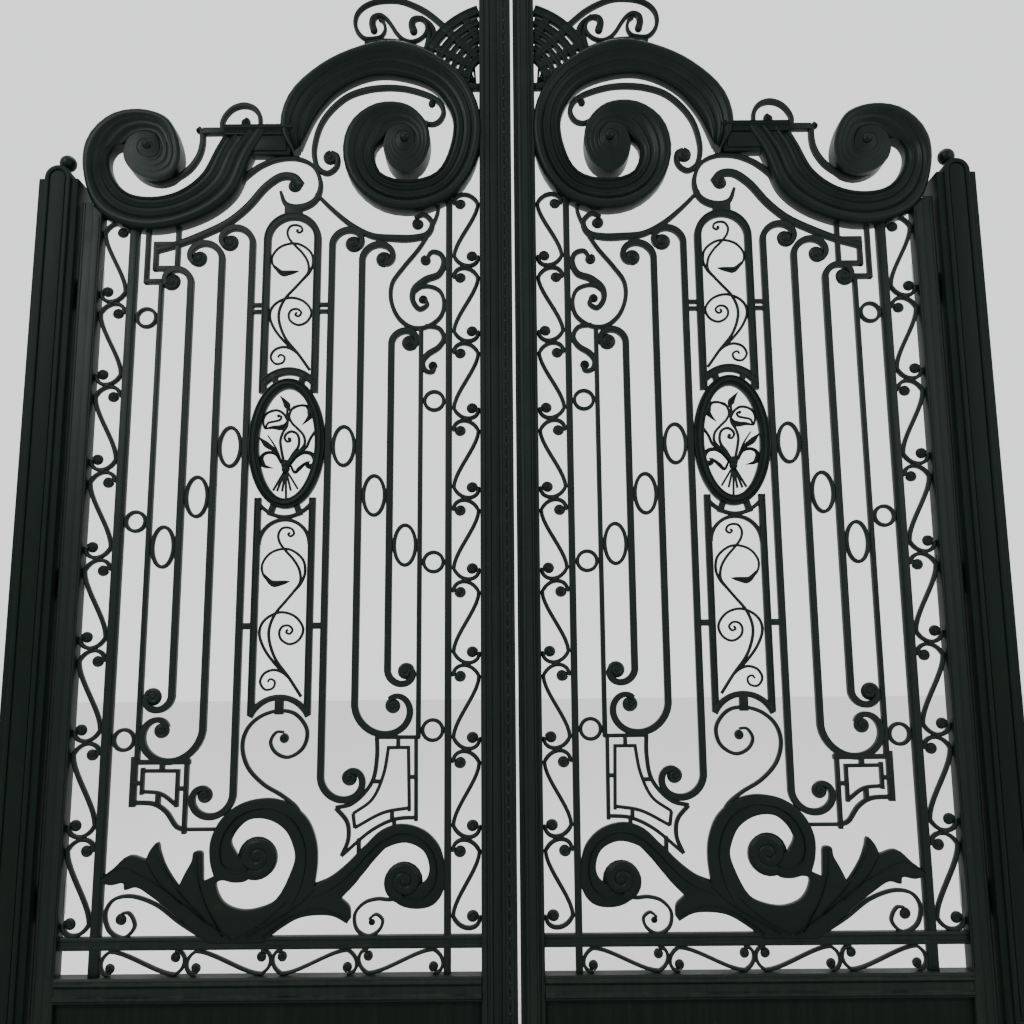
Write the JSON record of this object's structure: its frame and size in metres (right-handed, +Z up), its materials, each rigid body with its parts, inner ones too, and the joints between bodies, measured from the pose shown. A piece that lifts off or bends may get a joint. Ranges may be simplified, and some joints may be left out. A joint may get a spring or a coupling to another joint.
{
  "type": "driveway gate",
  "caption": "Double-leaf wrought iron driveway gate with hooked bars, scroll columns and a crown of large cast scrolls, hung between two iron box posts; each leaf swings by itself.",
  "frame": {"origin": "centre of the underside of the left post's base plate", "axes": "+X from the left post to the right post, +Y through the gate, the way its leaves open, +Z up"},
  "size_m": [3.89, 0.28, 4.331],
  "materials": {
    "painted_iron": "satin, weathered",
    "cast_iron_painted": "satin, rubbed on the mouldings",
    "hinge_steel": "greased"
  },
  "bodies": {
    "posts": {"left_post": "painted_iron", "right_post": "painted_iron", "left_post_cap": "painted_iron", "right_post_cap": "painted_iron", "left_post_hinges": "hinge_steel", "right_post_hinges": "hinge_steel"},
    "left_leaf": {"left_hanging_stile": "painted_iron", "left_meeting_stile": "painted_iron", "left_kick_rail": "painted_iron", "left_uprights": "painted_iron", "left_hooked_bars": "painted_iron", "left_frieze": "painted_iron", "left_side_scrolls": "painted_iron", "left_upper_panel": "painted_iron", "left_lower_panel": "painted_iron", "left_medallion": "cast_iron_painted", "left_bouquet": "cast_iron_painted", "left_vines": "cast_iron_painted", "left_acanthus": "cast_iron_painted", "left_base_spirals": "painted_iron", "left_key_frames": "painted_iron", "left_outer_scroll": "cast_iron_painted", "left_inner_scroll": "cast_iron_painted", "left_crown_bands": "painted_iron", "left_crest": "cast_iron_painted"},
    "right_leaf": {"right_hanging_stile": "painted_iron", "right_meeting_stile": "painted_iron", "right_kick_rail": "painted_iron", "right_uprights": "painted_iron", "right_hooked_bars": "painted_iron", "right_frieze": "painted_iron", "right_side_scrolls": "painted_iron", "right_upper_panel": "painted_iron", "right_lower_panel": "painted_iron", "right_medallion": "cast_iron_painted", "right_bouquet": "cast_iron_painted", "right_vines": "cast_iron_painted", "right_acanthus": "cast_iron_painted", "right_base_spirals": "painted_iron", "right_key_frames": "painted_iron", "right_outer_scroll": "cast_iron_painted", "right_inner_scroll": "cast_iron_painted", "right_crown_bands": "painted_iron", "right_crest": "cast_iron_painted"}
  },
  "joints": [
    {"name": "left_leaf_swing", "type": "hinge", "parent": "posts", "child": "left_leaf", "pos_m": [0.102, 0.022, 0], "axis": [0, 0, 1], "range_deg": [0, 90]},
    {"name": "right_leaf_swing", "type": "hinge", "parent": "posts", "child": "right_leaf", "pos_m": [3.508, 0.022, 0], "axis": [0, 0, -1], "range_deg": [0, 90]}
  ]
}
